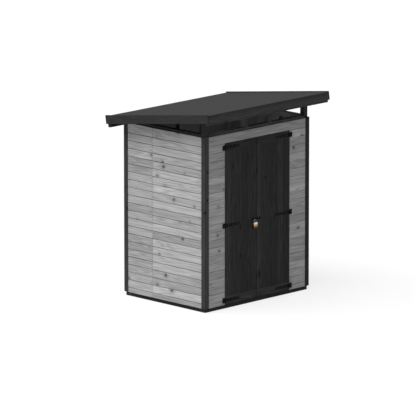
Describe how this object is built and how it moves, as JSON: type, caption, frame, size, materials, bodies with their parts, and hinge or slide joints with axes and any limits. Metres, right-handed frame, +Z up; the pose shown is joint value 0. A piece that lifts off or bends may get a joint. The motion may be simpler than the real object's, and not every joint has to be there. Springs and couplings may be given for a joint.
{
  "type": "tool shed",
  "caption": "Small timber tool shed with a single-pitch roof, a ventilation gap under it and a pair of boarded doors with a hasp and padlock.",
  "frame": {"origin": "centre of the base frame, at ground level, on the underside of the middle joist", "axes": "+X along the door front from the left door to the right, +Y from the doors to the back wall, +Z up"},
  "size_m": [1.964, 1.6452, 2.3199],
  "materials": {
    "dark_frame_timber": "dark grey stained sawn timber",
    "black_trim": "black stained planed boards",
    "black_door_timber": "black stained tongue and groove boards",
    "grey_cladding": "grey stained boards with knots",
    "floor_timber": "bare planed boards",
    "roof_timber": "bare sawn boards",
    "roofing_felt": "mineral bitumen felt",
    "black_iron": "black powder coat",
    "padlock_brass": "satin brass",
    "shackle_steel": "polished steel"
  },
  "bodies": {
    "shed": {"base_bearers": "dark_frame_timber", "base_joists": "dark_frame_timber", "floor_boards": "floor_timber", "front_posts": "dark_frame_timber", "back_posts": "dark_frame_timber", "sole_plates": "dark_frame_timber", "door_sill": "dark_frame_timber", "wall_studs": "dark_frame_timber", "door_jambs": "dark_frame_timber", "door_header": "dark_frame_timber", "front_top_plate": "dark_frame_timber", "back_top_plate": "dark_frame_timber", "side_top_plates": "dark_frame_timber", "left_wall_cladding": "grey_cladding", "right_wall_cladding": "grey_cladding", "back_wall_cladding": "grey_cladding", "front_left_cladding": "grey_cladding", "front_right_cladding": "grey_cladding", "cladding_over_door": "grey_cladding", "front_left_corner_board": "black_trim", "front_right_corner_board": "black_trim", "back_left_corner_board": "black_trim", "back_right_corner_board": "black_trim", "front_uprights": "dark_frame_timber", "rafters": "dark_frame_timber", "front_roof_beam": "dark_frame_timber", "back_roof_beam": "dark_frame_timber", "roof_boards": "roof_timber", "roofing_felt": "roofing_felt", "front_fascia": "black_trim", "back_fascia": "black_trim", "left_bargeboard": "black_trim", "right_bargeboard": "black_trim", "hinge_plates": "black_iron"},
    "left_door": {"left_door_boards": "black_door_timber", "left_door_rails": "black_door_timber", "left_door_ledges": "black_door_timber", "left_door_straps": "black_iron", "hasp_staple": "black_iron", "padlock_body": "padlock_brass", "padlock_shackle": "shackle_steel"},
    "right_door": {"right_door_boards": "black_door_timber", "right_door_rails": "black_door_timber", "right_door_ledges": "black_door_timber", "right_door_straps": "black_iron", "hasp_strap": "black_iron"}
  },
  "joints": [
    {"name": "left_door_hinge", "type": "hinge", "parent": "shed", "child": "left_door", "pos_m": [-0.5225, -0.653, 0.958], "axis": [0, 0, -1], "range_deg": [0, 165]},
    {"name": "right_door_hinge", "type": "hinge", "parent": "shed", "child": "right_door", "pos_m": [0.5225, -0.653, 0.958], "axis": [0, 0, 1], "range_deg": [0, 165]}
  ]
}
